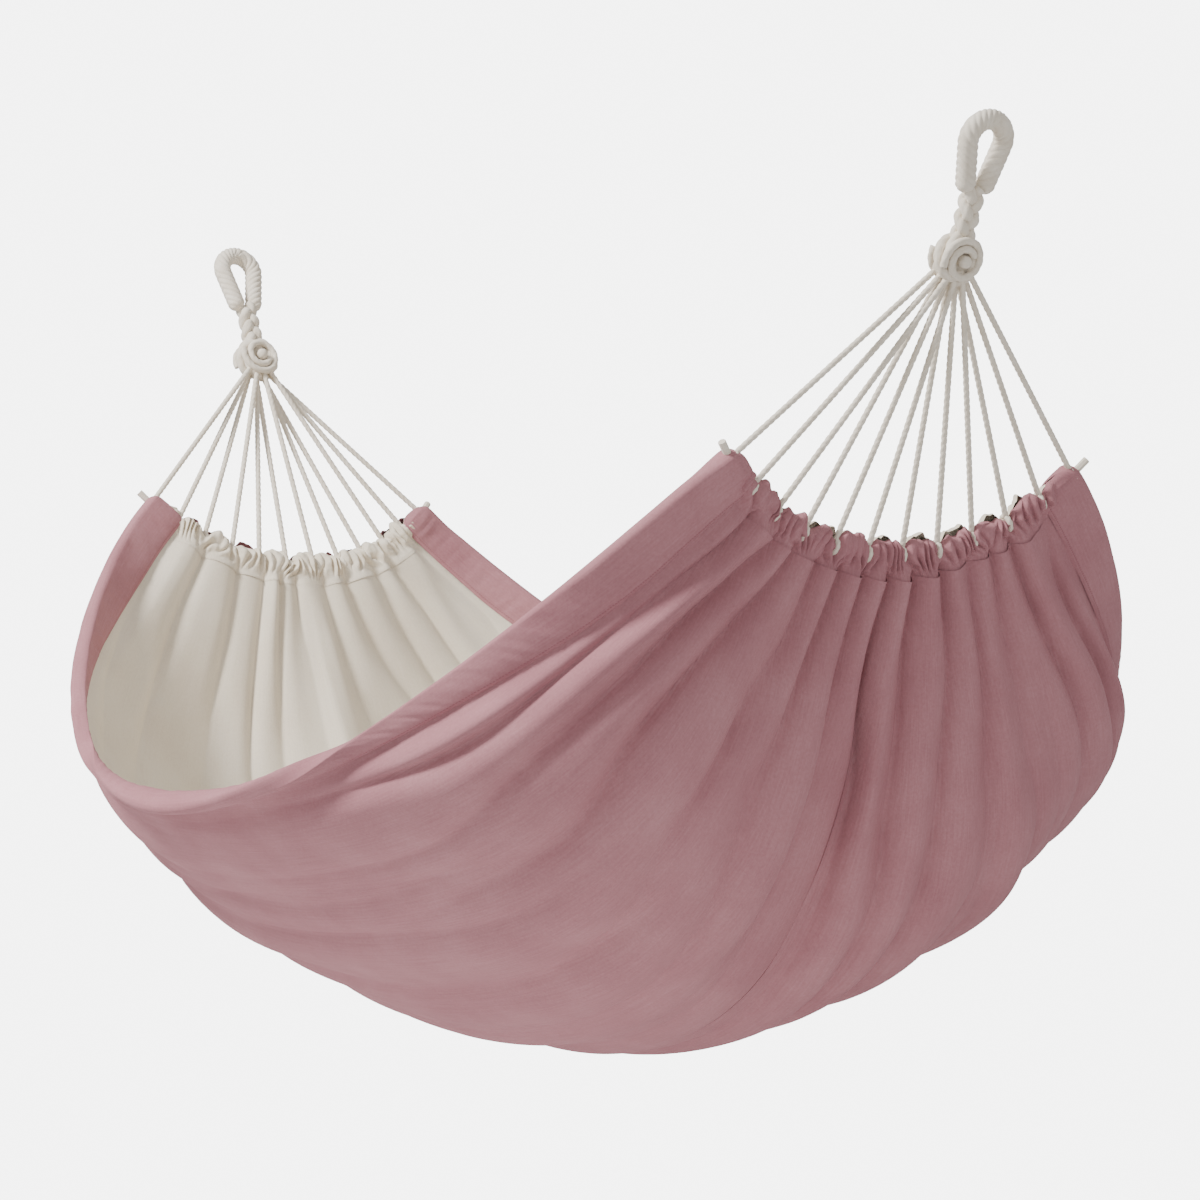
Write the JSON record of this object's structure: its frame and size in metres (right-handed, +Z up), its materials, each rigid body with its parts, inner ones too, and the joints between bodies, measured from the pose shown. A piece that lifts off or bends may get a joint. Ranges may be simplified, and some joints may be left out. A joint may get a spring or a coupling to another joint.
{
  "type": "hammock",
  "caption": "Two-layer cotton hammock with rose outside and cream lining, gathered ends, fans of cords, rope knots and hanging loops, hung between two hooks",
  "frame": {"origin": "where the right hook bears on the inside of the right hanging loop", "axes": "+X from the left hook to the right hook, +Y across the bed to its far edge, +Z up"},
  "size_m": [1.9338, 1.3574, 1.2152],
  "materials": {
    "rose_cloth": "matte",
    "rose_hem": "matte",
    "cream_lining": "matte",
    "cotton_cord": "matte",
    "cotton_rope": "matte"
  },
  "bodies": {
    "hanging_loops": {"left_loop": "cotton_rope", "right_loop": "cotton_rope"},
    "bed": {"far_border": "rose_hem", "left_casing": "rose_cloth", "left_channel_rope": "cotton_cord", "left_cord_01": "cotton_cord", "left_cord_02": "cotton_cord", "left_cord_03": "cotton_cord", "left_cord_04": "cotton_cord", "left_cord_05": "cotton_cord", "left_cord_06": "cotton_cord", "left_cord_07": "cotton_cord", "left_cord_08": "cotton_cord", "left_cord_09": "cotton_cord", "left_cord_10": "cotton_cord", "left_cord_11": "cotton_cord", "left_cord_12": "cotton_cord", "left_knot": "cotton_rope", "left_knot_inner_button": "cotton_rope", "left_knot_inner_coil": "cotton_rope", "left_knot_outer_button": "cotton_rope", "left_knot_outer_coil": "cotton_rope", "left_lining_casing": "cream_lining", "left_neck": "cotton_rope", "lining": "cream_lining", "near_border": "rose_hem", "outer_cloth": "rose_cloth", "right_casing": "rose_cloth", "right_channel_rope": "cotton_cord", "right_cord_01": "cotton_cord", "right_cord_02": "cotton_cord", "right_cord_03": "cotton_cord", "right_cord_04": "cotton_cord", "right_cord_05": "cotton_cord", "right_cord_06": "cotton_cord", "right_cord_07": "cotton_cord", "right_cord_08": "cotton_cord", "right_cord_09": "cotton_cord", "right_cord_10": "cotton_cord", "right_cord_11": "cotton_cord", "right_cord_12": "cotton_cord", "right_knot": "cotton_rope", "right_knot_inner_button": "cotton_rope", "right_knot_inner_coil": "cotton_rope", "right_knot_outer_button": "cotton_rope", "right_knot_outer_coil": "cotton_rope", "right_lining_casing": "cream_lining", "right_neck": "cotton_rope"}
  },
  "joints": [
    {"name": "swing", "type": "hinge", "parent": "hanging_loops", "child": "bed", "pos_m": [-0.948, 0, -0.0813], "axis": [1, 0, 0], "range_deg": [-30, 30]}
  ]
}
